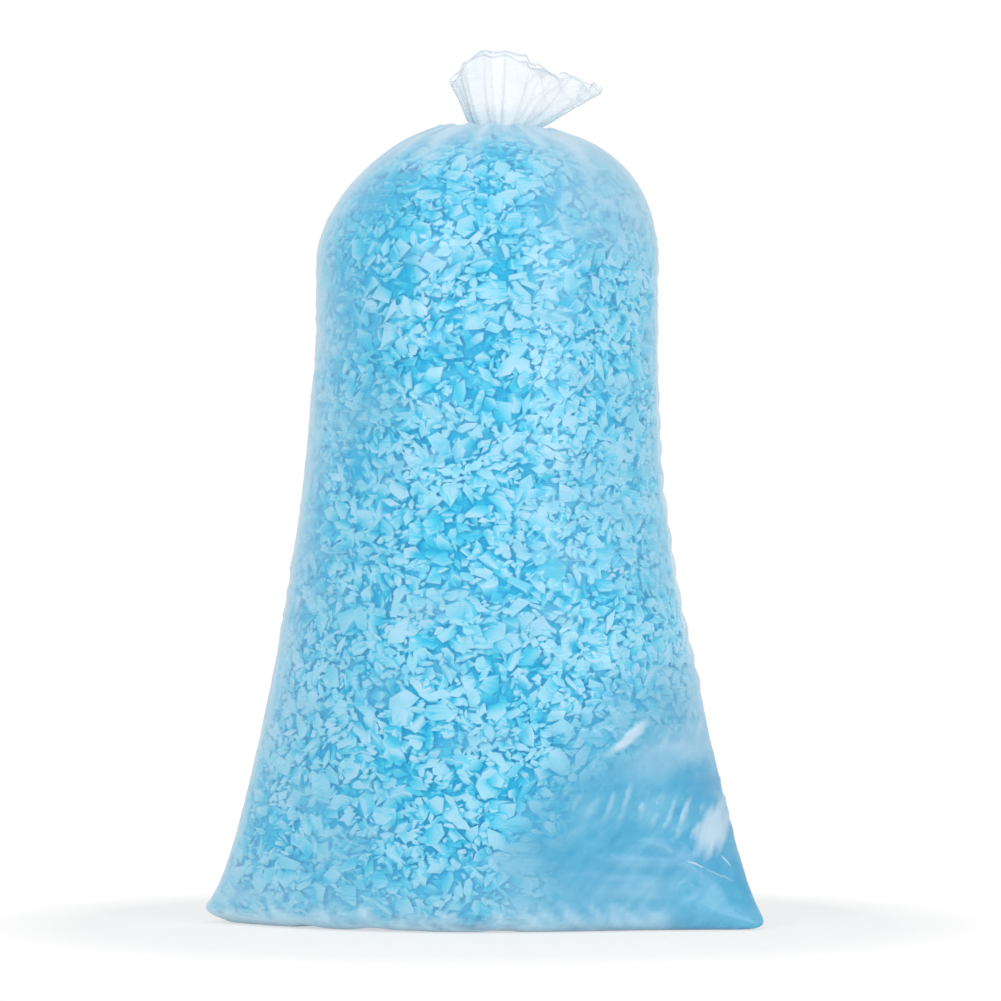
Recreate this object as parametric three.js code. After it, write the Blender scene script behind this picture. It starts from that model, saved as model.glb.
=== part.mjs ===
// A clear film bag of shredded foam that stands on its settled base, its neck gathered in a tie and its
// mouth fanned out above. Millimetres, +Z up, the front towards -Y, the origin under the middle of the base.
import * as THREE from "three";

// The filled bag: a round body under a domed top
const BODY_RADIUS = 176;
const SHOULDER_HEIGHT = 671;
const DOME_RISE = 151;
const BASE_ROUND = 22;

// How the body spreads to the flat bottom weld, whose two ends stand out as ears, the left one off the floor
const FLARE = 101;
const FLARE_HEIGHT = 570;
const FLARE_POWER = 1.6;
const BASE_PINCH = 30;
const EAR_POINT = 0.6;
const EAR_TURN = 55;
const EAR_FORWARD = 50;
const EAR_FADE = 130;
const EAR_REACH = 19;
const EAR_DIP = 0.7;
const EAR_HEIGHT = 45;
const EAR_SHARPNESS = 6;
const LEFT_EAR_LIFT = 15;

// The gathers, and the hollow that the neck sinks into; the dome and the neck lean off the body's axis
const PLEATS = 14;
const GATHER_DEPTH = 10;
const GATHER_REACH = 150;
const PLEAT_SHARE = 0.25;
const PLEAT_DRIFT = 0.9;
const CROWN_RADIUS = 60;
const CROWN_CURL = 10;
const HOLLOW_DEPTH = 20;
const DOME_LEAN = 11;
const NECK_OFFSET = 20;
const NECK_RADIUS = 14;
const NECK_LENGTH = 10;

// The fanned mouth above the neck: it leans to the right, and drops at its left end and along its right side
const FAN_HALF_WIDTH = 80;
const FAN_HALF_DEPTH = 46;
const FAN_RISE = 78;
const FAN_DROP = 34;
const FAN_LEAN = 22;
const FAN_FLARE = 0.55;
const FAN_LEFT_FLARE = 0.32;
const FAN_LEFT_CURVE = 6;
const FAN_RIGHT_CURVE = 0.5;
const FAN_PLEAT = 12;

// The tie round the neck
const TIE_WIDTH = 6;
const TIE_THICKNESS = 1.6;

// The foam: the corners of its shreds stand at different depths behind the film
const SHRED_RELIEF = 13;
const SHRED_SLOPE = 0.65;
const SHRED_DRIFT = 0.4;
const SHRED_SEED = 7;
const SEED_FACTOR = 16807;
const SEED_LIMIT = 2147483647;
const HEADSPACE = 20;
const DENT_DEPTH = 8;

// The film's thickness, the gap between touching pieces and the looser gap beside the foam
const FILM = 0.5;
const SEAT_GAP = 0.3;
const SIDE_GAP = 2;

// How finely the curves are divided; the film's rows crowd towards the floor
const COLUMNS = 4 * PLEATS;
const FILM_ROWS = { base: 2, wall: 6, dome: 6, hollow: 4, neck: 1, fan: 5 };
const FILM_CROWDING = 1.6;
const FOAM_ROWS = { base: 1, wall: 33, dome: 8, dent: 3 };
const TIE_COLUMNS = 40;

// The bag's meridian, as curves of radius against height from the floor to the top of the neck
const baseRound = new THREE.EllipseCurve(
  BODY_RADIUS - BASE_ROUND, BASE_ROUND, BASE_ROUND, BASE_ROUND, -Math.PI / 2, 0,
);
const wall = new THREE.LineCurve(
  new THREE.Vector2(BODY_RADIUS, BASE_ROUND),
  new THREE.Vector2(BODY_RADIUS, SHOULDER_HEIGHT),
);
const dome = new THREE.EllipseCurve(
  0, SHOULDER_HEIGHT, BODY_RADIUS, DOME_RISE, 0, Math.acos(CROWN_RADIUS / BODY_RADIUS),
);
const crown = dome.getPoint(1);
const neckFoot = new THREE.Vector2(NECK_RADIUS, crown.y - HOLLOW_DEPTH);
const neckTop = new THREE.Vector2(NECK_RADIUS, neckFoot.y + NECK_LENGTH);
const hollowPull = (CROWN_RADIUS - NECK_RADIUS) / 2;
const hollow = new THREE.CubicBezierCurve(
  crown,
  dome.getTangent(1).multiplyScalar(CROWN_CURL).add(crown),
  new THREE.Vector2(NECK_RADIUS + hollowPull, neckFoot.y),
  neckFoot,
);
const neck = new THREE.LineCurve(neckFoot, neckTop);

// The heap of foam ends in a dome of its own, lower than the film's and dented under the neck
const heapTop = new THREE.EllipseCurve(
  0, SHOULDER_HEIGHT, BODY_RADIUS, DOME_RISE - HEADSPACE, 0, Math.acos(CROWN_RADIUS / BODY_RADIUS),
);
const heapDent = new THREE.LineCurve(
  heapTop.getPoint(1),
  new THREE.Vector2(NECK_RADIUS, neckFoot.y - DENT_DEPTH),
);

// Points along a curve after its start; an ease above 1 crowds them towards the start
function pointsOn(curve, count, ease = 1) {
  return Array.from({ length: count }, (_, index) => curve.getPoint(((index + 1) / count) ** ease));
}

// The bag's smooth form: round high up, drawn out into two pointed ears at the floor
function bagPoint(radius, height, angle) {
  const share = radius / BODY_RADIUS;
  const ear = Math.exp(-height / EAR_FADE);
  const earEnd = Math.exp(-height / EAR_HEIGHT);
  const flare = FLARE * Math.max(0, 1 - height / FLARE_HEIGHT) ** FLARE_POWER;
  const halfWidth = BODY_RADIUS + flare + EAR_REACH * earEnd;
  const halfDepth = BODY_RADIUS - BASE_PINCH * ear;
  const inCrown = 1 - THREE.MathUtils.clamp((radius - NECK_RADIUS) / (CROWN_RADIUS - NECK_RADIUS), 0, 1);
  const lean = THREE.MathUtils.lerp(DOME_LEAN, NECK_OFFSET, inCrown);
  const axis = lean * THREE.MathUtils.smoothstep(height, SHOULDER_HEIGHT, neckFoot.y);
  const across = Math.cos(angle);
  const back = Math.sin(angle);
  const turn = ear * (EAR_TURN * across ** 3 + EAR_FORWARD * across ** 4);
  const pastFloor = THREE.MathUtils.clamp((radius - BODY_RADIUS) / BASE_ROUND + 1, 0, 1);
  const lift = LEFT_EAR_LIFT * pastFloor * earEnd * Math.max(0, -across) ** EAR_SHARPNESS;
  return new THREE.Vector3(
    axis + share * halfWidth * across,
    share * (halfDepth * back * Math.abs(back) ** (EAR_POINT * ear) - turn),
    height * (1 - EAR_DIP * earEnd * across ** EAR_SHARPNESS) + lift,
  );
}

// The fanned mouth, from the top of the neck (rise 0) to its rim (rise 1)
function fanPoint(rise, angle) {
  const across = Math.cos(angle);
  const spread = rise ** THREE.MathUtils.lerp(FAN_FLARE, FAN_LEFT_FLARE, Math.max(0, -across));
  const halfWidth = THREE.MathUtils.lerp(NECK_RADIUS, FAN_HALF_WIDTH, spread);
  const halfDepth = THREE.MathUtils.lerp(NECK_RADIUS, FAN_HALF_DEPTH, spread);
  const drop = Math.abs(across) ** (across < 0 ? FAN_LEFT_CURVE : FAN_RIGHT_CURVE);
  return new THREE.Vector3(
    NECK_OFFSET + FAN_LEAN * spread + halfWidth * across,
    halfDepth * Math.sin(angle),
    neckTop.y + FAN_RISE * rise - FAN_DROP * drop * rise ** 2,
  );
}

function columnAngle(column) {
  return (2 * Math.PI * column) / COLUMNS;
}

// One closed ring of points for each point of a meridian
function bagRings(points) {
  return points.map(({ x: radius, y: height }) =>
    Array.from({ length: COLUMNS }, (_, column) => bagPoint(radius, height, columnAngle(column))));
}

// Moves each point of a grid of rings inwards along the surface's normal
function pressedIn(rings, depthAt) {
  return rings.map((ring, row) => ring.map((point, column) => {
    const above = rings[Math.min(row + 1, rings.length - 1)][column];
    const below = rings[Math.max(row - 1, 0)][column];
    const ahead = ring[(column + 1) % COLUMNS];
    const behind = ring[(column + COLUMNS - 1) % COLUMNS];
    const outward = ahead.clone().sub(behind).cross(above.clone().sub(below)).normalize();
    return point.clone().addScaledVector(outward, -depthAt(row, column));
  }));
}

// A closed body over a stack of rings, its two ends closed by flat fans; past the rim of a folded-back stack
// the faces lean the other way, so that the inner skin's facets lie along the outer skin's
function lofted(rings, rim = rings.length) {
  const points = rings.flat();
  const first = points.length;
  const last = first + 1;
  const top = first - COLUMNS;
  const centre = (ring) =>
    ring.reduce((sum, point) => sum.add(point), new THREE.Vector3()).divideScalar(COLUMNS);
  const faces = [];
  for (let column = 0; column < COLUMNS; column += 1) {
    const next = (column + 1) % COLUMNS;
    faces.push(first, next, column, last, top + column, top + next);
    for (let row = 0; row < rings.length - 1; row += 1) {
      const [a, b] = [row * COLUMNS + column, row * COLUMNS + next];
      const [c, d] = [a + COLUMNS, b + COLUMNS];
      const leansLeft = ((row + column) % 2 === 0) === (row < rim);
      faces.push(...(leansLeft ? [a, b, d, a, d, c] : [a, b, c, b, d, c]));
    }
  }
  const geometry = new THREE.BufferGeometry();
  geometry.setFromPoints([...points, centre(rings[0]), centre(rings.at(-1))]);
  geometry.setIndex(faces);
  geometry.computeVertexNormals();
  return geometry;
}

// A repeatable stream of numbers from 0 to 1
function seededNumbers(seed) {
  let state = seed;
  return () => {
    state = (state * SEED_FACTOR) % SEED_LIMIT;
    return state / SEED_LIMIT;
  };
}

// The bag: gathers pressed into the smooth form make the outer skin, and the inner skin follows it
function clearBag() {
  const bodyPoints = [
    baseRound.getPoint(0),
    ...pointsOn(baseRound, FILM_ROWS.base),
    ...pointsOn(wall, FILM_ROWS.wall, FILM_CROWDING),
    ...pointsOn(dome, FILM_ROWS.dome),
    ...pointsOn(hollow, FILM_ROWS.hollow),
    ...pointsOn(neck, FILM_ROWS.neck),
  ];
  const bodyPleats = bodyPoints.map(({ x: radius, y: height }) => {
    const gather = GATHER_DEPTH * Math.max(0, 1 - radius / GATHER_REACH) ** 2;
    return height < SHOULDER_HEIGHT ? 0 : Math.min(gather, PLEAT_SHARE * radius);
  });
  const fanRises = Array.from({ length: FILM_ROWS.fan }, (_, row) => (row + 1) / FILM_ROWS.fan);
  const fanRings = fanRises.map((rise) =>
    Array.from({ length: COLUMNS }, (_, column) => fanPoint(rise, columnAngle(column))));
  const neckPleat = bodyPleats.at(-1);
  const pleats = [...bodyPleats, ...fanRises.map((rise) => THREE.MathUtils.lerp(neckPleat, FAN_PLEAT, rise))];
  const outer = pressedIn([...bagRings(bodyPoints), ...fanRings], (row, column) => {
    const angle = columnAngle(column);
    const wave = Math.sin(PLEATS * angle + PLEAT_DRIFT * Math.sin(2 * angle));
    return pleats[row] * (1 - wave) / 2;
  });
  const inner = pressedIn(outer, () => FILM);
  return lofted([...outer, ...inner.reverse()], outer.length);
}

// The foam: every ring point is the corner of a shred, set aside at random and sunk behind the film
function foamFill() {
  const random = seededNumbers(SHRED_SEED);
  const rings = bagRings([
    baseRound.getPoint(0),
    ...pointsOn(baseRound, FOAM_ROWS.base),
    ...pointsOn(wall, FOAM_ROWS.wall),
    ...pointsOn(heapTop, FOAM_ROWS.dome),
    ...pointsOn(heapDent, FOAM_ROWS.dent),
  ]);
  const pitch = (row, column) => rings[row][column].distanceTo(rings[row][(column + 1) % COLUMNS]);
  const corners = rings.map((ring, row) => ring.map((point, column) => {
    const ahead = ring[(column + 1) % COLUMNS];
    const above = rings[Math.min(row + 1, rings.length - 1)][column];
    return point.clone().lerp(ahead, SHRED_DRIFT * random()).lerp(above, row ? SHRED_DRIFT * random() : 0);
  }));
  const surface = pressedIn(corners, (row, column) =>
    FILM + SIDE_GAP + random() * Math.min(SHRED_RELIEF, SHRED_SLOPE * pitch(row, column)));
  surface[0].forEach((point) => point.setZ(FILM + SEAT_GAP));
  return lofted(surface);
}

// The tie: a plain band round the neck, midway along it
function neckTie() {
  const inside = NECK_RADIUS + SEAT_GAP;
  const outside = inside + TIE_THICKNESS;
  const section = [
    new THREE.Vector2(inside, -TIE_WIDTH / 2),
    new THREE.Vector2(outside, -TIE_WIDTH / 2),
    new THREE.Vector2(outside, TIE_WIDTH / 2),
    new THREE.Vector2(inside, TIE_WIDTH / 2),
    new THREE.Vector2(inside, -TIE_WIDTH / 2),
  ];
  const band = new THREE.LatheGeometry(section, TIE_COLUMNS);
  band.rotateX(Math.PI / 2);
  band.translate(NECK_OFFSET, 0, (neckFoot.y + neckTop.y) / 2);
  return band;
}

function piece(name, geometry, look) {
  const mesh = new THREE.Mesh(geometry, new THREE.MeshStandardMaterial({ metalness: 0, ...look }));
  mesh.name = name;
  return mesh;
}

const bag = new THREE.Group();
bag.name = "foam_bag";
bag.add(
  piece("clear_bag", clearBag(), { color: 0xdcecf5, roughness: 0.2, transparent: true, opacity: 0.3 }),
  piece("foam_fill", foamFill(), { color: 0x86cdee, roughness: 0.95 }),
  piece("neck_tie", neckTie(), { color: 0xf0f4f6, roughness: 0.5 }),
);

export default bag;
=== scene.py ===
import math

import bpy
import numpy as np
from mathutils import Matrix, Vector, noise
from mathutils.bvhtree import BVHTree


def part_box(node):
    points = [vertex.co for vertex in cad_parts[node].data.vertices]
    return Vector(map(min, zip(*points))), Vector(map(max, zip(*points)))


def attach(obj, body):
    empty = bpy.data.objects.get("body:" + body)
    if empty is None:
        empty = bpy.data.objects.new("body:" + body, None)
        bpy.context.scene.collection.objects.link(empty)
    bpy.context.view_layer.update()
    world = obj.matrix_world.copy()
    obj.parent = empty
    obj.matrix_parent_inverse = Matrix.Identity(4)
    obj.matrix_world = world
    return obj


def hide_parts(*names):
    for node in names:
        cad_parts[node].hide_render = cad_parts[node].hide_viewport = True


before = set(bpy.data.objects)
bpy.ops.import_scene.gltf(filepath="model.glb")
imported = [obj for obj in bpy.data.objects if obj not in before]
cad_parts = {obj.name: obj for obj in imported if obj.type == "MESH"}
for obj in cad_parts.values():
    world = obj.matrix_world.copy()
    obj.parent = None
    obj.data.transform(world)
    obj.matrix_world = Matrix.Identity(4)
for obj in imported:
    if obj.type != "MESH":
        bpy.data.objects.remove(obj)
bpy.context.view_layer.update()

# Clear bag: a lay-flat tube of clear polyethylene film, welded straight across its bottom. Filled, it
# stands on a lens-shaped base whose weld ends stick out as two ears. Its slack top is drawn together
# into gathers, pinched by the tie and left to fan out above it.
bag_low, bag_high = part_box("clear_bag")
tie_low, tie_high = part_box("neck_tie")

body_radius = (bag_high.y - bag_low.y) / 2
base_round = 0.022
crown_radius = 0.060
crown_curl = 0.010
hollow_depth = 0.020
dome_rise = 0.151
dome_lean = 0.011
neck_length = 0.010
tie_wall = 0.0019
neck_x = (tie_low.x + tie_high.x) / 2
neck_radius = (tie_high.x - tie_low.x) / 2 - tie_wall
neck_foot = (tie_low.z + tie_high.z - neck_length) / 2
neck_top = neck_foot + neck_length
crown_height = neck_foot + hollow_depth
shoulder = crown_height - dome_rise * math.sqrt(1 - (crown_radius / body_radius) ** 2)

flare = 0.101
flare_height = 0.570
flare_power = 1.6
base_pinch = 0.030
ear_point = 0.6
ear_turn = 0.055
ear_forward = 0.050
ear_fade = 0.130
ear_reach = 0.019
ear_dip = 0.7
ear_height = 0.045
ear_sharpness = 6
left_ear_lift = 0.011
right_ear_tuck = 0.006
upper_left_tuck = 0.005
middle_right_tuck = 0.004
upper_start, upper_full = 0.52, 0.60
middle_height = 0.40
middle_reach = 0.12

fan_half_width = 0.080
fan_half_depth = 0.046
fan_rise = bag_high.z - neck_top
fan_drop = 0.034
fan_lean = 0.022
fan_flare = 0.55
fan_left_flare = 0.32
fan_left_curve = 6
fan_right_curve = 0.5


def smooth_step(value, low, high):
    share = np.clip((value - low) / (high - low), 0, 1)
    return share * share * (3 - 2 * share)


def bag_form(radius, height, angle):
    """The filled bag's smooth form: round high up, drawn out into two pointed ears at the floor."""
    share = radius / body_radius
    ear = np.exp(-height / ear_fade)
    ear_end = np.exp(-height / ear_height)
    spread = flare * np.maximum(0, 1 - height / flare_height) ** flare_power
    half_width = body_radius + spread + ear_reach * ear_end
    half_depth = body_radius - base_pinch * ear
    in_crown = 1 - np.clip((radius - neck_radius) / (crown_radius - neck_radius), 0, 1)
    lean = dome_lean + (neck_x - dome_lean) * in_crown
    axis = lean * smooth_step(height, shoulder, neck_foot)
    across, back = np.cos(angle), np.sin(angle)
    to_left, to_right = np.maximum(0, -across), np.maximum(0, across)
    half_width = half_width - upper_left_tuck * to_left * smooth_step(height, upper_start, upper_full)
    in_middle = np.exp(-((height - middle_height) / middle_reach) ** 4)
    half_width = half_width - middle_right_tuck * to_right * in_middle
    half_width = half_width - right_ear_tuck * to_right * ear_end
    turn = ear * (ear_turn * across ** 3 + ear_forward * across ** 4)
    past_floor = np.clip((radius - body_radius) / base_round + 1, 0, 1)
    lift = left_ear_lift * past_floor * ear_end * to_left ** ear_sharpness
    return np.stack(np.broadcast_arrays(
        axis + share * half_width * across,
        share * (half_depth * back * np.abs(back) ** (ear_point * ear) - turn),
        height * (1 - ear_dip * ear_end * across ** ear_sharpness) + lift,
    ), axis=-1)


def fan_form(rise, angle):
    """The fanned mouth, from the top of the neck (rise 0) to its rim (rise 1)."""
    across = np.cos(angle)
    spread = rise ** (fan_flare + (fan_left_flare - fan_flare) * np.maximum(0, -across))
    half_width = neck_radius + (fan_half_width - neck_radius) * spread
    half_depth = neck_radius + (fan_half_depth - neck_radius) * spread
    drop = np.where(across < 0, np.abs(across) ** fan_left_curve, np.abs(across) ** fan_right_curve)
    return np.stack(np.broadcast_arrays(
        neck_x + fan_lean * spread + half_width * across,
        half_depth * np.sin(angle),
        neck_top + fan_rise * rise - fan_drop * drop * rise ** 2,
    ), axis=-1)


def meridian(floor_rows, round_rows, wall_rows, dome_rows, top_rise, top_radius):
    """Radius and height from the middle of the base, up the wall and over a dome to top_radius."""
    inner = body_radius - base_round
    bend = np.linspace(-math.pi / 2, 0, round_rows + 1)[1:]
    arch = np.linspace(0, math.acos(top_radius / body_radius), dome_rows + 1)[1:]
    radius = np.concatenate([
        np.linspace(0.03, 1, floor_rows) * inner,
        inner + base_round * np.cos(bend),
        np.full(wall_rows, body_radius),
        body_radius * np.cos(arch),
    ])
    height = np.concatenate([
        np.zeros(floor_rows),
        base_round + base_round * np.sin(bend),
        np.linspace(base_round, shoulder, wall_rows + 1)[1:],
        shoulder + top_rise * np.sin(arch),
    ])
    return radius[:, None], height[:, None]


def ring_angles(columns):
    return np.linspace(0, 2 * math.pi, columns, endpoint=False)[None, :]


def grid_normals(rings):
    """Outward normals of a stack of closed rings of points."""
    along = np.roll(rings, -1, axis=1) - np.roll(rings, 1, axis=1)
    normal = np.cross(along, np.gradient(rings, axis=0))
    return normal / np.maximum(np.linalg.norm(normal, axis=-1, keepdims=True), 1e-12)


def loft(rings, close_top):
    """Points and faces over a stack of closed rings, with its bottom closed and perhaps its top."""
    rows, columns = rings.shape[:2]
    row, column = np.meshgrid(np.arange(rows - 1), np.arange(columns), indexing="ij")
    after = (column + 1) % columns
    low, high = row * columns, (row + 1) * columns
    faces = np.stack([low + column, low + after, high + after, high + column], axis=-1)
    faces = faces.reshape(-1, 4).tolist()
    points = np.concatenate([rings.reshape(-1, 3), rings[:1].mean(1), rings[-1:].mean(1)])
    bottom, top, last = rows * columns, rows * columns + 1, (rows - 1) * columns
    faces += [[bottom, (k + 1) % columns, k] for k in range(columns)]
    if close_top:
        faces += [[top, last + k, last + (k + 1) % columns] for k in range(columns)]
    return (points if close_top else points[:-1]), faces


def noise_at(points, size, shift=0.0):
    """Smooth noise from -1 to 1 at points, with a feature size along each axis."""
    scaled = points.reshape(-1, 3) / np.asarray(size) + shift
    return np.array([noise.noise(p) for p in scaled.tolist()]).reshape(points.shape[:-1])


def creases_at(points, size, shift):
    """Sharp creases at 1 between flat panels at 0."""
    scaled = points.reshape(-1, 3) / np.asarray(size) + shift
    near = np.array([noise.voronoi(p)[0][:2] for p in scaled.tolist()])
    return np.clip(1 - 2.5 * (near[:, 1] - near[:, 0]), 0, 1).reshape(points.shape[:-1])


def add_piece(name, points, faces, smooth, material):
    mesh = bpy.data.meshes.new(name)
    mesh.from_pydata(points.tolist(), [], faces)
    mesh.polygons.foreach_set("use_smooth", [smooth] * len(mesh.polygons))
    mesh.materials.append(material)
    piece = bpy.data.objects.new(name, mesh)
    bpy.context.collection.objects.link(piece)
    return piece


def add_values(piece, name, domain, values):
    layer = piece.data.attributes.new(name, "FLOAT", domain)
    layer.data.foreach_set("value", np.asarray(values, np.float32))


film_random = np.random.default_rng(21)
film_columns = 320
floor_rows = 8
round_rows = 8
wall_rows = 140
dome_rows = 60
hollow_rows = 12
neck_rows = 5
fan_rows = 50
angle = ring_angles(film_columns)
radius, height = meridian(floor_rows, round_rows, wall_rows, dome_rows, dome_rise, crown_radius)
curl = np.linspace(0, 1, hollow_rows + 1)[1:, None]
hollow_pull = (crown_radius - neck_radius) / 2
dome_slope = np.array([-body_radius * math.sqrt(1 - (crown_radius / body_radius) ** 2),
                       dome_rise * crown_radius / body_radius])
crown_point = np.array([crown_radius, crown_height])
foot_point = np.array([neck_radius, neck_foot])
curl_point = crown_point + crown_curl * dome_slope / np.linalg.norm(dome_slope)
pull_point = foot_point + np.array([hollow_pull, 0])
hollow = ((1 - curl) ** 3 * crown_point
          + 3 * curl * (1 - curl) ** 2 * curl_point
          + 3 * curl ** 2 * (1 - curl) * pull_point
          + curl ** 3 * foot_point)
neck = np.linspace(neck_foot, neck_top, neck_rows + 1)[1:, None]
radius = np.concatenate([radius, hollow[:, :1], np.full((neck_rows, 1), neck_radius)])
height = np.concatenate([height, hollow[:, 1:], neck])
rise = np.linspace(0, 1, fan_rows + 1)[1:, None]
smooth_rings = np.concatenate([bag_form(radius, height, angle), fan_form(rise, angle)])
outward = grid_normals(smooth_rings)
outward[:floor_rows] = (0, 0, -1)
x, y, z = np.moveaxis(smooth_rings, -1, 0)
on_fan = np.concatenate([np.zeros_like(radius), rise])
on_body = on_fan == 0
on_dome = on_body & (z > shoulder)
ring_radius = np.concatenate([radius, neck_radius + (fan_half_width - neck_radius) * rise])

# Gathers: sharp folds of unlike depth run out of the neck, down the dome and up the fan
fold_lines = 28
gather_limit = 0.012
gather_share = 0.28
fan_fold_growth = 0.010
calming = 0.85
fold_angle = (np.arange(fold_lines) + film_random.uniform(-0.3, 0.3, fold_lines)) * 2 * math.pi / fold_lines
fold_height = np.where(np.arange(fold_lines) % 2, 1, -1) * film_random.uniform(0.45, 1, fold_lines)
fold_reach = film_random.uniform(0.065, 0.120, fold_lines)
wave = np.interp(angle, fold_angle, fold_height, period=2 * math.pi)
reach = np.interp(angle, fold_angle, fold_reach, period=2 * math.pi)
gather = np.clip(1 - ring_radius / reach, 0, 1) ** 2 * on_dome
gather_depth = np.minimum(gather_limit, gather_share * ring_radius)
left_panel = np.exp(-((angle - math.radians(246)) / 0.36) ** 4)
right_panel = 0.8 * np.exp(-((angle - math.radians(300)) / 0.42) ** 4)
flat_panel = np.maximum(left_panel, right_panel) * smooth_step(on_fan, 0.1, 0.4)
right_edge = smooth_step(np.cos(angle), 0.6, 0.95) * np.sqrt(np.sin(math.pi * on_fan) + 1e-9)
fan_depth = gather_share * neck_radius + fan_fold_growth * on_fan
fan_depth = fan_depth * (1 - calming * flat_panel) * (1 - calming * right_edge)
film_rings = smooth_rings - outward * (
    (1 - wave) / 2 * np.where(on_body, gather * gather_depth, fan_depth))[..., None]

# Broad soft folds hang from the neck, those of the front first
ridge_angle = np.radians((239, 261, 293, 312, 344, 18, 52, 88, 121, 158, 196, 218))
ridge_width = (0.013, 0.005, 0.005, 0.012, 0.007, 0.010, 0.005, 0.011, 0.006, 0.009, 0.005, 0.007)
ridge_end = (0.160, 0.172, 0.150, 0.162, 0.150, 0.160, 0.140, 0.165, 0.150, 0.160, 0.150, 0.140)
ridge_height = 0.0018
ridge_fade = 0.06
ridge = np.zeros_like(x)
for turn, width, end in zip(ridge_angle, ridge_width, ridge_end):
    apart = (angle - turn + math.pi) % (2 * math.pi) - math.pi
    fading = np.clip((end - ring_radius) / ridge_fade, 0, 1)
    ridge = np.maximum(ridge, np.exp(-(apart * ring_radius / width) ** 2) * fading * on_dome)
film_rings += outward * (ridge_height * ridge)[..., None]
crown_sink = 0.0030 + 0.0025 * smooth_step(x, 0.02, 0.05)
film_rings[..., 2] -= crown_sink * np.exp(-((ring_radius - 0.072) / 0.034) ** 2) * on_dome

# The fan's panels are crumpled, and its right rim is crimped
crimps = 40
crimp_depth = 0.0030
crimp_height = 0.0035
crumple_depth = 0.0040
crease_depth = 0.0022
rim_wave = 0.0040
lobe_height = 0.0035
tip_drop = 0.0070
right_bulge = 0.010
fan_rings = smooth_rings[-fan_rows:]
fan_x = fan_rings[..., 0]
to_right = smooth_step(fan_x, neck_x - 0.005, neck_x + 0.05)
to_tip = smooth_step(fan_x, 0.094, 0.116)
lobe = np.exp(-((fan_x - 0.007) / 0.018) ** 2) - 0.8 * np.exp(-((fan_x - 0.042) / 0.014) ** 2)
crimp_angle = np.sort(film_random.uniform(0, 2 * math.pi, crimps))
crimp = np.interp(angle, crimp_angle, np.where(np.arange(crimps) % 2, 1, -1), period=2 * math.pi)
fan_crease = creases_at(fan_rings, (0.016, 0.016, 0.024), 3.0) * (1 - 0.9 * flat_panel[-fan_rows:])
crumple = crumple_depth * noise_at(fan_rings, 0.030, 11.0) - crease_depth * fan_crease * to_right
crimp_out = crimp_depth * crimp * (0.1 + to_right) * (1 - to_tip) * rise ** 4
crumple_out = crumple * (1 - 0.7 * to_tip) * np.sqrt(rise)
film_rings[-fan_rows:] += outward[-fan_rows:] * (crimp_out + crumple_out)[..., None]
crimp_up = crimp_height * crimp * to_right * rise ** 6
waves_up = rim_wave * noise_at(fan_rings, (0.02, 0.02, 0.4), 9.0) * rise ** 2
film_rings[-fan_rows:, :, 2] += (crimp_up + waves_up) * (1 - to_tip)
film_rings[-fan_rows:, :, 2] += (lobe_height * lobe - tip_drop * to_tip) * rise ** 2
film_rings[-fan_rows:, :, 0] += right_bulge * smooth_step(np.cos(angle), 0.4, 0.95) * np.sin(math.pi * rise)

# Level wrinkles from settling, and the film standing over the shreds that push into it
wrinkle_height = 0.0020
push_height = 0.0011
scallop_height = 0.0026
scallop_pitch = 0.0092
floor_wave = 0.006
on_wall = smooth_step(z, 0.004, 0.03) * (1 - smooth_step(z, shoulder, shoulder + 0.13)) * on_body
wrinkle = np.clip(1 - 2.4 * np.abs(noise_at(smooth_rings, (0.13, 0.13, 0.018))), 0, 1) ** 2
wrinkle = wrinkle * smooth_step(noise_at(smooth_rings, (0.15, 0.15, 0.09), 7.0), -0.2, 0.35) * on_wall
push = (0.5 + 0.5 * noise_at(smooth_rings, (0.017, 0.017, 0.014), 3.0)) * on_wall
scallop = np.abs(np.sin(z / scallop_pitch + 2 * noise_at(smooth_rings, 0.10, 2.0)))
scallop = scallop * smooth_step(z, 0.20, 0.26) * (1 - smooth_step(z, 0.50, 0.57))
scallop = scallop * smooth_step(x, 0.10, 0.17) * on_body
film_rings += outward * (wrinkle_height * wrinkle + push_height * push
                         + scallop_height * scallop)[..., None]
between_ears = (1 - smooth_step(np.abs(x), 0.19, 0.24)) * on_body
at_floor = np.exp(-np.maximum(0, z) / floor_wave) * between_ears
film_rings[..., 2] += floor_wave * np.clip(noise_at(smooth_rings, 0.045, 13.0), 0, 1) * at_floor

# The slack lower right: film doubled over itself, and buckled into rows of short slanting folds, whose
# painted highlights are drawn in its material
at_front = smooth_step(-outward[..., 1], -0.55, 0.25) * on_body
ragged = 0.030 * noise_at(smooth_rings, 0.07, 4.0) + 0.012 * noise_at(smooth_rings, 0.022, 4.5)
slack_left = 0.060 + 0.40 * np.maximum(0, z - 0.08)
slack_top = 0.5 * smooth_step(z + ragged, 0.14, 0.20) + 0.5 * smooth_step(z + ragged, 0.20, 0.33)
doubled = smooth_step(x - slack_left + ragged, -0.070, 0.050) * (1 - slack_top) * at_front
row_height = 0.130 - 0.22 * (x - 0.13)
lower_row = np.exp(-((z - row_height) / 0.020) ** 4)
lower_row = lower_row * smooth_step(x, 0.055, 0.09) * (1 - smooth_step(x, 0.21, 0.225))
upper_row = 0.35 * np.exp(-((z - 0.210) / 0.022) ** 2) * smooth_step(x, 0.13, 0.17)
buckled = np.maximum(lower_row, upper_row) * at_front


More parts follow.
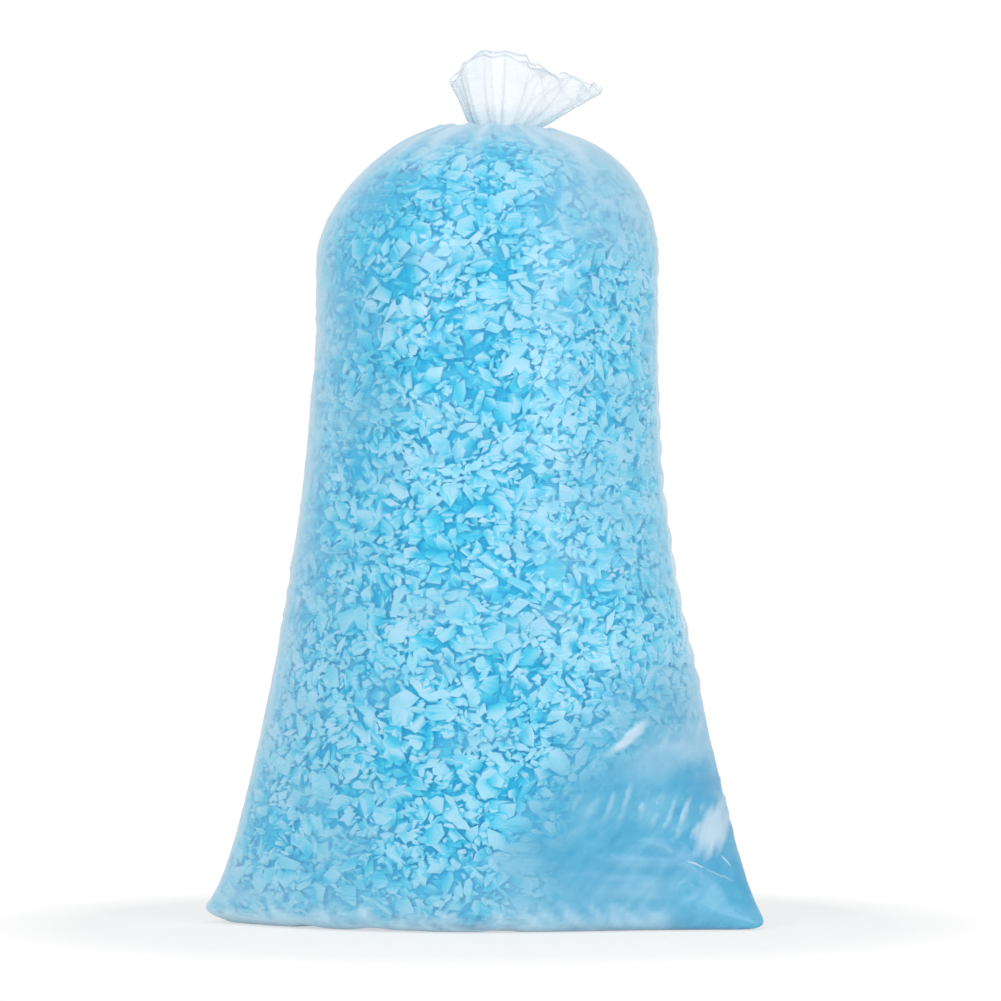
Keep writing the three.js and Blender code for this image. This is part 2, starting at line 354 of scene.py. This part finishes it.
class Nodes:
    """A material's node tree, with short calls to add and join its nodes."""

    def __init__(self, name):
        self.material = bpy.data.materials.new(name)
        self.material.use_nodes = True
        self.tree = self.material.node_tree
        self.tree.nodes.clear()

    def feed(self, socket, value):
        if isinstance(value, bpy.types.NodeSocket):
            self.tree.links.new(value, socket)
        else:
            socket.default_value = value

    def add(self, kind, settings=(), **sockets):
        node = self.tree.nodes.new("ShaderNode" + kind)
        for name, value in dict(settings).items():
            setattr(node, name, value)
        for name, value in sockets.items():
            self.feed(node.inputs[name.replace("_", " ")], value)
        return node

    def position(self):
        return self.add("NewGeometry").outputs["Position"]

    def value(self, name):
        return self.add("Attribute", {"attribute_name": name}).outputs["Fac"]

    def noise(self, scale, detail=2.0, stretch=None):
        place = self.position()
        if stretch:
            place = self.add("Mapping", Vector=place, Scale=stretch).outputs[0]
        return self.add("TexNoise", Vector=place, Scale=scale, Detail=detail).outputs["Fac"]

    def math(self, operation, *values):
        node = self.add("Math", {"operation": operation})
        for socket, value in zip(node.inputs, values):
            self.feed(socket, value)
        return node.outputs[0]

    def vector(self, operation, *values):
        node = self.add("VectorMath", {"operation": operation})
        for socket, value in zip(node.inputs, values):
            self.feed(socket, value)
        return node.outputs["Value" if operation == "LENGTH" else "Vector"]

    def total(self, *values):
        last = values[0]
        for value in values[1:]:
            last = self.math("ADD", last, value)
        return last

    def product(self, *values):
        last = values[0]
        for value in values[1:]:
            last = self.math("MULTIPLY", last, value)
        return last

    def ramp(self, factor, *stops):
        node = self.add("ValToRGB", Fac=factor)
        elements = node.color_ramp.elements
        while len(elements) < len(stops):
            elements.new(1.0)
        for element, (position, colour) in zip(elements, stops):
            element.position = position
            element.color = (*colour, 1.0)
        return node.outputs[0]

    def between(self, factor, low, high):
        """0 below low, 1 above high."""
        return self.ramp(factor, (low, (0, 0, 0)), (high, (1, 1, 1)))

    def stroke(self, place, start, end, width):
        """1 along the middle of a pointed stroke across the front from start to end, given as (x, z)."""
        run = Vector(end) - Vector(start)
        middle = (Vector(start) + Vector(end)) / 2
        own = self.add("Mapping", {"vector_type": "TEXTURE"}, Vector=place,
                       Location=(middle.x, 0.0, middle.y),
                       Rotation=(0.0, -math.atan2(run.y, run.x), 0.0),
                       Scale=(run.length / 2, 50.0, width / 2))
        return self.ramp(self.vector("LENGTH", own.outputs[0]), (0.35, (1, 1, 1)), (1.0, (0, 0, 0)))

    def tint(self, factor, first, second):
        node = self.add("Mix", {"data_type": "RGBA"})
        for index, value in ((0, factor), (6, first), (7, second)):
            self.feed(node.inputs[index], value)
        return node.outputs[2]

    def mix(self, factor, first, second):
        node = self.add("MixShader")
        for socket, value in zip(node.inputs, (factor, first, second)):
            self.feed(socket, value)
        return node.outputs[0]

    def finish(self, surface):
        output = self.add("OutputMaterial")
        self.tree.links.new(surface, output.inputs["Surface"])
        return self.material


clear = Nodes("clear_film")
facing = clear.add("LayerWeight", Blend=0.5).outputs["Facing"]
edge_veil = clear.product(clear.math("POWER", facing, 2.6), clear.value("veiled"))
shake = clear.add("TexNoise", Vector=clear.position(), Scale=26.0, Detail=3.0).outputs["Color"]
place = clear.vector("MULTIPLY_ADD", shake, (0.014, 0.014, 0.014), clear.position())
place_parts = clear.add("SeparateXYZ", Vector=place).outputs
slant = clear.math("MULTIPLY_ADD", place_parts["Z"], -0.38, place_parts["X"])
# Painted highlights along the slack's rows of slanting folds, which also give its bump
fold_pitch = 0.0162
painted_fold_highlights = clear.math("COSINE", clear.product(slant, 2 * math.pi / fold_pitch))
stronger_rightwards = clear.math("MULTIPLY_ADD", place_parts["X"], 5.5, -0.20)
painted_fold_highlights = clear.product(clear.between(painted_fold_highlights, -0.1, 1.0), clear.between(clear.noise(52.0, 2.0), 0.36, 0.56),
                      clear.value("buckled"), stronger_rightwards)
# Painted highlights and glints on the slack, as whiter film: start, end, width and strength, of which the
# last three are thin glints
slack_painted_highlights = (
    ((0.130, 0.164), (0.250, 0.204), 0.056, 0.17),
    ((0.126, 0.178), (0.176, 0.222), 0.014, 0.55),
    ((0.216, 0.078), (0.238, 0.136), 0.016, 0.45),
    ((0.226, 0.074), (0.250, 0.142), 0.018, 0.55),
    ((0.240, 0.080), (0.256, 0.130), 0.014, 0.40),
    ((0.206, 0.077), (0.228, 0.068), 0.0026, 0.90),
    ((0.224, 0.070), (0.262, 0.056), 0.0022, 0.25),
    ((0.245, 0.084), (0.258, 0.068), 0.0020, 0.55),
)
painted_highlights = clear.total(*(clear.product(clear.stroke(place, start, end, width), strength)
                      for start, end, width, strength in slack_painted_highlights))
painted_highlights = clear.product(painted_highlights, clear.value("front"))
streaks = clear.between(clear.noise(1.0, 1.0, (30.0, 30.0, 280.0)), 0.60, 0.72)
patches = clear.between(clear.noise(1.0, 2.0, (10.0, 10.0, 18.0)), 0.50, 0.60)
single_film = clear.math("SUBTRACT", 1.0, clear.math("MAXIMUM", clear.value("doubled"), edge_veil))
streaks = clear.product(streaks, patches, single_film)
fan_edge = clear.product(clear.math("POWER", facing, 6.0), clear.value("fanned"))
fan_painted_shade = clear.math("MAXIMUM", clear.value("painted_shade_lines"), fan_edge)
# A whiter veil of milky film, streaks and the fan's edges, with the painted highlights of the slack in it
white_veil_and_highlights = clear.total(clear.product(fan_edge, 0.35), clear.value("milky"), clear.product(streaks, 0.16),
                         clear.product(painted_fold_highlights, 0.36), painted_highlights)
mottle = clear.math("MULTIPLY_ADD", clear.noise(42.0, 4.0), 0.7, -0.35)
doubled_film = clear.between(clear.math("ADD", clear.value("doubled"), mottle), 0.05, 1.0)
blue_veil = clear.product(doubled_film, 0.84)
thin_veil = clear.math("ADD", edge_veil, clear.value("haze"))
veil = clear.math("MINIMUM", clear.total(thin_veil, white_veil_and_highlights, blue_veil), 0.90)
slanting = clear.add("Mapping", {"vector_type": "TEXTURE"}, Vector=place, Rotation=(0.0, -0.75, 0.0),
                     Scale=(0.034, 0.030, 0.012)).outputs[0]
strokes = clear.add("TexNoise", Vector=slanting, Scale=1.0, Detail=3.0)
brushed = clear.total(clear.product(strokes.outputs["Fac"], 0.6), clear.product(clear.noise(22.0), 0.4))
slack_colour = clear.ramp(brushed, (0.34, (0.045, 0.375, 0.635)), (0.50, (0.090, 0.45, 0.69)),
                          (0.64, (0.17, 0.53, 0.74)))
deep = clear.math("MAXIMUM", clear.stroke(place, (0.196, 0.152), (0.270, 0.158), 0.050),
                  clear.stroke(place, (0.180, 0.092), (0.268, 0.066), 0.040))
slack_colour = clear.tint(clear.product(deep, 0.7), slack_colour, (0.040, 0.37, 0.65, 1.0))
edge_share = clear.math("DIVIDE", edge_veil, thin_veil)
haze_colour = clear.tint(edge_share, (0.21, 0.68, 0.91, 1.0), (0.56, 0.77, 0.91, 1.0))
haze_colour = clear.tint(doubled_film, haze_colour, slack_colour)
whiteness = clear.math("MINIMUM", clear.product(white_veil_and_highlights, 2.0), 1.0)
haze_colour = clear.tint(whiteness, haze_colour, (0.57, 0.76, 0.90, 1.0))
# The film's foot, where it curves under, painted paler than the shade that falls there: painted light
haze_colour = clear.tint(clear.value("hem_veil_and_painted_light"), haze_colour, (0.64, 0.89, 1.0, 1.0))
fan_colour = clear.tint(clear.value("tinted"), (0.88, 0.93, 0.97, 1.0), (0.55, 0.82, 0.93, 1.0))
# The fan's creases, rim and edge-on parts painted grey-blue: painted shade
fan_colour = clear.tint(fan_painted_shade, fan_colour, (0.36, 0.49, 0.59, 1.0))
haze_colour = clear.tint(clear.value("fanned"), haze_colour, fan_colour)
relief = clear.total(clear.noise(60.0, 3.0), clear.product(painted_fold_highlights, 0.8), painted_highlights, streaks)
crinkle = clear.add("Bump", Height=relief, Strength=0.30, Distance=0.003).outputs[0]
haze = clear.add("BsdfPrincipled", Base_Color=haze_colour, Roughness=0.5, Normal=crinkle)
haze.inputs["Specular IOR Level"].default_value = 0.2
see_through = clear.add("BsdfTransparent", Color=(0.98, 0.99, 1.0, 1.0)).outputs[0]
gloss = clear.add("BsdfGlossy", Color=(1.0, 1.0, 1.0, 1.0), Roughness=0.13, Normal=crinkle).outputs[0]
shine = clear.math("MULTIPLY_ADD", clear.math("POWER", facing, 4.0), 0.25, 0.018)
clear_film = clear.finish(clear.mix(shine, clear.mix(veil, see_through, haze.outputs[0]), gloss))

film_points, film_faces = loft(film_rings, close_top=False)
film = add_piece("clear_film", film_points, film_faces, True, clear_film)

# Where the film is milky, hazy or tinted, and where painted shade lines the fan's creases, point by point
slanted = np.stack([x + z, y, 0.35 * (z - x)], axis=-1)
# The hem: a hazy band along the foot of the bag, also painted paler against the shade under its curve
hem_edge = 0.018 + 0.014 * noise_at(slanted, 0.014, 8.0)
off_floor = (ring_radius > body_radius - base_round) & on_body
hem_veil_and_painted_light = (1 - smooth_step(z, hem_edge - 0.010, hem_edge + 0.014)) * off_floor
hem_veil_and_painted_light = hem_veil_and_painted_light * (0.75 + 0.4 * noise_at(slanted, 0.010, 8.5))
low_haze = 0.42 * (1 - 0.6 * smooth_step(x, 0.03, 0.08)) * np.exp(-(z / 0.055) ** 2)
hem_veil_and_painted_light = np.maximum(hem_veil_and_painted_light, low_haze * on_wall)
hem_veil_and_painted_light = hem_veil_and_painted_light * (1 - 0.35 * smooth_step(x, 0.04, 0.08) - 0.60 * smooth_step(x, 0.17, 0.20))
crown_haze = np.clip((0.150 - ring_radius) / 0.10, 0, 1) ** 1.3 * on_dome
fold_apart = np.abs((angle[0, :, None] - fold_angle + math.pi) % (2 * math.pi) - math.pi)
fold_near = fold_apart.min(1) * ring_radius
fold_strength = film_random.uniform(0.1, 1, fold_lines) ** 1.5
fold_line = np.exp(-(fold_near / 0.0013) ** 2) * fold_strength[fold_apart.argmin(1)]
# Painted shade lines along the fan's creases, its rim and a bunch of folds at its left end
fan_lines = np.concatenate([np.zeros((len(radius), film_columns)),
                            0.9 * fan_crease ** 2 * to_right * rise * (1 - to_tip)])
rim_line = 0.8 * (on_fan > 0.975)
left_bunch = smooth_step(-np.cos(angle), 0.80, 0.97) * (0.5 + 0.5 * np.cos(angle * 32)) * (1 - 0.6 * on_fan)
painted_shade_lines = 0.80 * fold_line * (1 - 0.4 * flat_panel) + fan_lines + rim_line + 0.7 * left_bunch
painted_shade_lines = np.where(on_body, 0, np.clip(painted_shade_lines, 0, 1))
tinted = (0.9 * (1 - smooth_step(on_fan, 0.05, 0.45)) + 0.6 * smooth_step(x, 0.05, 0.11) * (1 - on_fan)
          + 0.35 * smooth_step(-np.cos(angle), 0.5, 0.9))
tinted = np.where(on_body, 0, np.clip(tinted, 0, 1))
patch = smooth_step(noise_at(smooth_rings, (0.085, 0.085, 0.030), 15.0), 0.08, 0.45) * on_wall
patch = patch * (1 - smooth_step(x, 0.04, 0.10) * (1 - smooth_step(z, 0.28, 0.36)))
dome_right = smooth_step(x, 0.02, 0.12) * smooth_step(z, shoulder - 0.03, shoulder + 0.06)
milky_body = (0.20 * gather * fold_line + 0.34 * ridge + 0.12 * wrinkle + 0.30 * hem_veil_and_painted_light + 0.06 * patch
              + 0.28 * dome_right)
fan_cloud = smooth_step(noise_at(smooth_rings, 0.03, 1.0), 0, 0.4)
milky_fan = 0.12 + 0.10 * fan_cloud + 0.42 * painted_shade_lines + 0.18 * tinted
milky = np.clip(np.where(on_body, milky_body, milky_fan), 0, 0.85)
veiled = np.where(on_body, 1 - 0.65 * smooth_step(x, 0.06, 0.12) * smooth_step(z, 0.22, 0.34), 0.25)
left_haze = smooth_step(-x, 0.06, 0.13)
right_haze = smooth_step(x, 0.00, 0.12) * smooth_step(z, 0.25, 0.40)
cloud = np.clip(noise_at(smooth_rings, 0.10, 12.0), 0, 1)
haze_share = (0.07 + 0.08 * left_haze + 0.10 * right_haze + 0.12 * cloud + 0.24 * crown_haze
              + 0.10 * patch + 0.40 * hem_veil_and_painted_light) * on_body
for name, values in (("milky", milky), ("doubled", doubled), ("buckled", buckled), ("front", at_front),
                     ("haze", haze_share), ("painted_shade_lines", painted_shade_lines), ("tinted", tinted), ("veiled", veiled),
                     ("fanned", on_fan > 0), ("hem_veil_and_painted_light", np.clip(hem_veil_and_painted_light, 0, 1))):
    add_values(film, name, "POINT", np.append(np.broadcast_to(values, x.shape), 0))

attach(film, "root")
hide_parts("clear_bag")

# Foam fill: thousands of torn shreds of open-cell memory foam, blown loose into the bag. Those at the
# film are pressed flat against it, and those behind lie every way in the heap.
foam_random = np.random.default_rng(5)
headspace = 0.008
film_clearance = 0.0010
dent_clearance = 0.008
thinnest_shred = 0.0020
thickest_shred = 0.008
soft_edge = 0.0009


def heap_meridian(floor_rows, round_rows, wall_rows, dome_rows):
    """Radius and height over the heap of foam, which is dented where the neck sinks into it."""
    radius, height = meridian(floor_rows, round_rows, wall_rows, dome_rows, dome_rise - headspace, 0.006)
    dent = np.interp(radius, hollow[::-1, 0], hollow[::-1, 1]) - dent_clearance
    return radius, np.where((radius < crown_radius) & (height > shoulder), np.minimum(height, dent), height)


skin_radius, skin_height = heap_meridian(8, 6, 90, 40)
skin_rings = bag_form(skin_radius, skin_height, ring_angles(200))
skin_normals = grid_normals(skin_rings)
skin_normals[:8] = (0, 0, -1)
skin_points, skin_faces = loft(skin_rings, close_top=True)
skin = BVHTree.FromPolygons(skin_points.tolist(), skin_faces)
skin_quads = np.array([face for face in skin_faces if len(face) == 4])
skin_quads = skin_quads[skin_normals.reshape(-1, 3)[skin_quads[:, 0], 2] > -0.8]


def room_behind(point, normal):
    """How thick the heap is behind a point of its skin."""
    start = Vector(point) - 0.0005 * Vector(normal)
    return skin.ray_cast(start, -Vector(normal))[3] or 0.0


def is_free(spot, own, grids):
    """Whether a round spot keeps clear of the spots in all the grids."""
    for cell, taken in grids:
        i, j, k = (math.floor(value / cell) for value in spot)
        for key in ((i + a, j + b, k + c) for a in (-1, 0, 1) for b in (-1, 0, 1) for c in (-1, 0, 1)):
            for other, reach in taken.get(key, ()):
                if math.dist(spot, other) < own + reach:
                    return False
    return True


def scatter(rounds, spacing):
    """Places for shreds on the heap's skin, the large ones first: centres, normals, long axes and sizes."""
    corners = skin_points[skin_quads]
    area = np.linalg.norm(np.cross(corners[:, 2] - corners[:, 0], corners[:, 3] - corners[:, 1]), axis=1)
    grids, found = [], []
    for tries, shortest, longest in rounds:
        picked = foam_random.choice(len(skin_quads), tries, p=area / area.sum())
        u, v = foam_random.random((2, tries, 1))
        a, b, c, d = np.moveaxis(corners[picked], 1, 0)
        places = (a * (1 - u) + b * u) * (1 - v) + (d * (1 - u) + c * u) * v
        normals = skin_normals.reshape(-1, 3)[skin_quads[picked, 0]]
        lengths = foam_random.uniform(shortest, longest, (tries, 1))
        widths = lengths * foam_random.uniform(0.28, 0.80, (tries, 1))
        level = np.cross((0, 0, 1), normals) + (0, 1e-6, 0)
        level /= np.linalg.norm(level, axis=1, keepdims=True)
        slope = foam_random.normal(0, 0.8, (tries, 1))
        axes = np.cos(slope) * level + np.sin(slope) * np.cross(normals, level)
        ends = axes * (lengths - widths) / 2
        spots = np.stack([places, places - ends, places + ends], axis=1).tolist()
        cell = longest * 0.85 * spacing
        grids.append((cell, {}))
        kept = []
        for index, own in enumerate((widths[:, 0] * spacing / 2).tolist()):
            if all(is_free(spot, own, grids) for spot in spots[index]):
                for spot in spots[index]:
                    key = tuple(math.floor(value / cell) for value in spot)
                    grids[-1][1].setdefault(key, []).append((spot, own))
                if room_behind(places[index], normals[index]) > 0.8 * lengths[index, 0]:
                    kept.append(index)
        found.append([values[kept] for values in (places, normals, axes, lengths, widths)])
    return [np.concatenate(values) for values in zip(*found)]


def tear_shreds(places, normals, axes, lengths, widths, sides, depth, tilt):
    """Corners of many-sided torn chips with soft edges behind the film, and how deep each corner lies."""
    count = len(places)
    turn = (np.arange(sides) + foam_random.uniform(-0.32, 0.32, (count, sides))) * 2 * math.pi / sides
    reach = foam_random.uniform(0.76, 1.20, (count, sides))
    outline = np.stack([reach * np.cos(turn) * lengths / 2, reach * np.sin(turn) * widths / 2], axis=-1)
    thick = widths * foam_random.uniform(0.35, 0.9, (count, 1))
    thick = np.clip(thick, thinnest_shred, thickest_shred)[..., None]
    edge = np.minimum(soft_edge, 0.3 * thick)
    inset = 1 - 2 * edge / widths[..., None]
    taper = foam_random.uniform(0.7, 1.1, (count, 1, 1))
    lean = foam_random.uniform(-0.5, 0.5, (count, 1, 2)) * thick
    under, over = outline * taper + lean, outline
    rings = ((under, -thick / 2), (over, thick / 2 - edge), (over * inset, thick / 2))
    local = np.stack([np.concatenate([plan, np.broadcast_to(level, plan[..., :1].shape)], axis=-1)
                      for plan, level in rings], axis=1)
    bend = foam_random.normal(0, 7.0, (count, 1, 1))
    twist = foam_random.normal(0, 11.0, (count, 1, 1))
    local[..., 2] += bend * local[..., 0] ** 2 + twist * local[..., 0] * local[..., 1]
    facing_out = normals + foam_random.normal(0, tilt, (count, 3))
    facing_out /= np.linalg.norm(facing_out, axis=1, keepdims=True)
    along = axes - facing_out * (axes * facing_out).sum(1, keepdims=True)
    along /= np.linalg.norm(along, axis=1, keepdims=True)
    own_axes = np.stack([along, np.cross(facing_out, along), facing_out], axis=1)
    sunk = 0.0022 * smooth_step(noise_at(places, 0.075, 5.0), -0.05, 0.5)
    sunk = sunk + 0.0036 * smooth_step(noise_at(places, (0.034, 0.034, 0.022), 6.0), 0.20, 0.48)
    to_left, up, down = -places[:, 0], places[:, 2] - 0.60, 0.30 - places[:, 2]
    upper_left = smooth_step(to_left, 0.04, 0.12) * (1 - smooth_step(down, -0.15, 0.05))
    sunk = sunk * (1 - 0.4 * smooth_step(-to_left, 0.02, 0.09)) + 0.0015 * upper_left
    sunk = (sunk + 0.0008 * smooth_step(up, 0, 0.1) + 0.0001 * smooth_step(down, 0, 0.1))[:, None]
    centres = places - normals * (foam_random.uniform(*depth, (count, 1)) + sunk + thick[:, 0] / 2)
    points = (np.einsum("nrsk,nkj->nrsj", local, own_axes) + centres[:, None, None]).reshape(-1, 3)
    depths = np.zeros(len(points))
    for index, point in enumerate(points):
        spot, normal, _, _ = skin.find_nearest(point)
        depths[index] = (spot - Vector(point)).dot(normal)
        if depths[index] < film_clearance:
            points[index] += np.array(normal) * (depths[index] - film_clearance)
            depths[index] = film_clearance
    return points.reshape(count, -1, 3), depths.reshape(count, -1)


def shred_faces(sides):
    """Faces of one chip: its two torn faces, its sides and its soft front edge."""
    faces = [list(range(sides))[::-1], [2 * sides + k for k in range(sides)]]
    for low, high in ((0, sides), (sides, 2 * sides)):
        faces += [[low + k, low + (k + 1) % sides, high + (k + 1) % sides, high + k] for k in range(sides)]
    return faces


layers = (
    {"rounds": ((1800, 0.025, 0.035), (9000, 0.018, 0.025), (26000, 0.011, 0.018), (24000, 0.006, 0.011)),
     "spacing": 0.60, "depth": (0.0002, 0.0015), "tilt": 0.30},
    {"rounds": ((1600, 0.020, 0.030), (9000, 0.014, 0.020), (18000, 0.009, 0.014)),
     "spacing": 0.68, "depth": (0.0014, 0.0028), "tilt": 0.38},
    {"rounds": ((3000, 0.022, 0.032), (9000, 0.013, 0.022), (12000, 0.009, 0.013)),
     "spacing": 0.78, "depth": (0.0034, 0.0052), "tilt": 0.50},
)
shreds = []
for layer in layers:
    shred_sizes = scatter(layer["rounds"], layer["spacing"])
    side_counts = foam_random.choice((4, 5, 6, 7), len(shred_sizes[0]), p=(0.34, 0.32, 0.22, 0.12))
    for sides in (4, 5, 6, 7):
        mine = side_counts == sides
        chosen = [values[mine] for values in shred_sizes]
        points, depths = tear_shreds(*chosen, sides, layer["depth"], layer["tilt"])
        shreds += zip(points, depths, foam_random.random(len(points)), [sides] * len(points))
shreds.sort(key=lambda shred: shred[0][:, 2].mean())

foam = Nodes("foam_shreds")
lines = foam.between(foam.noise(1.0, 1.0, (70.0, 70.0, 620.0)), 0.50, 0.62)
lines = foam.product(lines, foam.between(foam.noise(1.0, 2.0, (26.0, 26.0, 44.0)), 0.54, 0.62))
# The foam darkens to deep blue with each point's depth behind the film: painted shade in the gaps between
# shreds, with a random tone per shred and fine level lines added in
darkest_depth = 0.008
shade = foam.total(foam.product(foam.value("depth_for_painted_shade"), 1 / darkest_depth), foam.product(lines, 0.22),
                   foam.product(foam.math("SUBTRACT", foam.value("tone"), 0.5), 0.30))
pale = foam.ramp(foam.noise(45.0, 2.0), (0.40, (0.40, 0.74, 0.84)), (0.60, (0.51, 0.75, 0.87)))
painted_shade_colour = foam.ramp(shade, (0.24, (0.33, 0.71, 0.83)), (0.38, (0.20, 0.66, 0.81)),
                   (0.54, (0.065, 0.60, 0.78)), (0.80, (0.012, 0.52, 0.74)), (1.0, (0.004, 0.44, 0.71)))
colour = foam.tint(foam.between(shade, 0.10, 0.30), pale, painted_shade_colour)
pores = foam.add("Bump", Height=foam.noise(900.0, 3.0), Strength=0.35, Distance=0.0006).outputs[0]
# A faint glow in the foam's own colour: painted light that lifts the shade in its gaps, standing in for
# light scattered through the foam
soft = foam.add("BsdfPrincipled", Base_Color=colour, Roughness=0.95, Normal=pores, Emission_Color=colour,
                Emission_Strength=0.13)
soft.inputs["Specular IOR Level"].default_value = 0.1
foam_shreds = foam.finish(soft.outputs[0])

levels = ("low", "lower_middle", "middle", "upper_middle", "high")
for level, name in enumerate(levels):
    mine = shreds[len(shreds) * level // len(levels):len(shreds) * (level + 1) // len(levels)]
    faces, tones_and_painted_light, start = [], [], 0
    for points, _, tone, sides in mine:
        faces += [[start + k for k in face] for face in shred_faces(sides)]
        # Each shred keeps its random tone, its sides painted darker as painted shade and its soft front
        # edge paler as a painted highlight
        tones_and_painted_light += [tone] * 2 + [tone + 0.5] * sides + [tone - 0.1] * sides
        start += len(points)
    corners, depths = (np.concatenate(values) for values in list(zip(*mine))[:2])
    piece = add_piece("foam_shreds_" + name, corners, faces, False, foam_shreds)
    add_values(piece, "depth_for_painted_shade", "POINT", depths)
    add_values(piece, "tone", "FACE", tones_and_painted_light)
    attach(piece, "root")
    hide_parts("foam_fill")

# The core of the heap, a little behind the last layer of shreds, its colour the painted shade of its depth
heap_depth = 0.0072
heap_lump = 0.002
heap_radius, heap_height = heap_meridian(6, 4, 60, 26)
heap_rings = bag_form(heap_radius, heap_height, ring_angles(140))
heap_normals = grid_normals(heap_rings)
heap_normals[:6] = (0, 0, -1)
room = np.array([room_behind(p, n) for p, n in zip(heap_rings.reshape(-1, 3), heap_normals.reshape(-1, 3))])
lumps = heap_lump * noise_at(heap_rings, 0.02)
heap_rings -= heap_normals * np.minimum(heap_depth + lumps, 0.42 * room.reshape(lumps.shape))[..., None]
heap_points, heap_faces = loft(heap_rings, close_top=True)
heap = add_piece("foam_heap", heap_points, heap_faces, False, foam_shreds)
add_values(heap, "depth_for_painted_shade", "POINT", np.full(len(heap_points), heap_depth))
add_values(heap, "tone", "FACE", foam_random.random(len(heap_faces)))
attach(heap, "root")
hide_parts("foam_fill")

# Neck tie: a plain narrow band of pale plastic wound tight round the gathered neck. It sits down in the
# hollow of the dome, under the fan.
band = Nodes("tie_band")
ribs = band.add("TexWave", {"bands_direction": "Z"}, Vector=band.position(), Scale=260.0,
                Distortion=0.6)
band_colour = band.ramp(band.noise(140.0, 4.0), (0.3, (0.80, 0.84, 0.86)), (0.7, (0.90, 0.92, 0.93)))
band_bump = band.add("Bump", Height=ribs.outputs["Fac"], Strength=0.3, Distance=0.0004).outputs[0]
band_surface = band.add("BsdfPrincipled", Base_Color=band_colour, Roughness=0.42,
                        Normal=band_bump).outputs[0]
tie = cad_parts["neck_tie"]
tie.data.materials.clear()
tie.data.materials.append(band.finish(band_surface))

# Floor, light and camera: a pale floor that keeps the bag's soft shadow, plain soft studio light, and a
# level camera with a long lens straight in front.
scene = bpy.context.scene
scene.view_settings.view_transform = "Standard"
scene.cycles.max_bounces = 8
scene.cycles.diffuse_bounces = 4
scene.cycles.transparent_max_bounces = 12


def seen_directly(nodes):
    """1 for the camera and for what shines or shows through, 0 for the light that falls on things."""
    path = nodes.new("ShaderNodeLightPath")
    last = path.outputs["Is Camera Ray"]
    for kind in ("Is Glossy Ray", "Is Transmission Ray"):
        either = nodes.new("ShaderNodeMath")
        either.operation = "MAXIMUM"
        nodes.id_data.links.new(last, either.inputs[0])
        nodes.id_data.links.new(path.outputs[kind], either.inputs[1])
        last = either.outputs[0]
    return last


ground = Nodes("pale_floor")
away = ground.vector("LENGTH", ground.position())
far = ground.between(away, 0.24, 0.52)
white = ground.add("Emission", Color=(1.0, 1.0, 1.0, 1.0), Strength=1.0).outputs[0]
matt = ground.add("BsdfDiffuse", Color=(0.95, 0.95, 0.95, 1.0)).outputs[0]
least_faded = 0.60
faded = ground.product(ground.math("MAXIMUM", far, least_faded), seen_directly(ground.tree.nodes))
pale_floor = ground.finish(ground.mix(faded, matt, white))
floor_reach = 30.0
floor_level = -0.0005
floor_corners = np.array([(i * floor_reach, j * floor_reach, floor_level)
                          for i, j in ((-1, -1), (1, -1), (1, 1), (-1, 1))])
floor = add_piece("floor", floor_corners, [[0, 1, 2, 3]], False, pale_floor)

world = bpy.data.worlds.new("studio")
scene.world = world
world.use_nodes = True
sky = world.node_tree
sky.nodes.clear()
sky_light = sky.nodes.new("ShaderNodeBackground")
sky_seen = sky.nodes.new("ShaderNodeBackground")
sky_mix = sky.nodes.new("ShaderNodeMixShader")
sky_output = sky.nodes.new("ShaderNodeOutputWorld")
sky_strength = 0.51
for background, strength in ((sky_light, sky_strength), (sky_seen, 1.0)):
    background.inputs["Color"].default_value = (1.0, 1.0, 1.0, 1.0)
    background.inputs["Strength"].default_value = strength
sky.links.new(seen_directly(sky.nodes), sky_mix.inputs[0])
sky.links.new(sky_light.outputs[0], sky_mix.inputs[1])
sky.links.new(sky_seen.outputs[0], sky_mix.inputs[2])
sky.links.new(sky_mix.outputs[0], sky_output.inputs["Surface"])


def softbox(name, place, target, size, power):
    lamp = bpy.data.lights.new(name, "AREA")
    lamp.size = size
    lamp.energy = power
    holder = bpy.data.objects.new(name, lamp)
    bpy.context.collection.objects.link(holder)
    holder.location = place
    holder.rotation_euler = (Vector(target) - Vector(place)).to_track_quat("-Z", "Y").to_euler()


softbox("top_light", (0.0, -0.2, 3.2), (0.0, 0.0, 0.0), 3.6, 21)
softbox("left_light", (-1.9, -2.8, 1.6), (0.0, 0.0, 0.45), 1.6, 33)
softbox("right_light", (2.2, -2.4, 1.2), (0.0, 0.0, 0.40), 1.6, 30)

picture_side = 1001
pixel = 0.00102
axis_pixel = 484.5
distance = 5.5
camera_height = 0.430
camera_data = bpy.data.cameras.new("camera")
camera_data.sensor_width = 36.0
camera_data.lens = camera_data.sensor_width * distance / (picture_side * pixel)
camera = bpy.data.objects.new("camera", camera_data)
bpy.context.collection.objects.link(camera)
camera.location = ((picture_side / 2 - axis_pixel) * pixel, -distance, camera_height)
camera.rotation_euler = (math.pi / 2, 0, 0)
scene.camera = camera
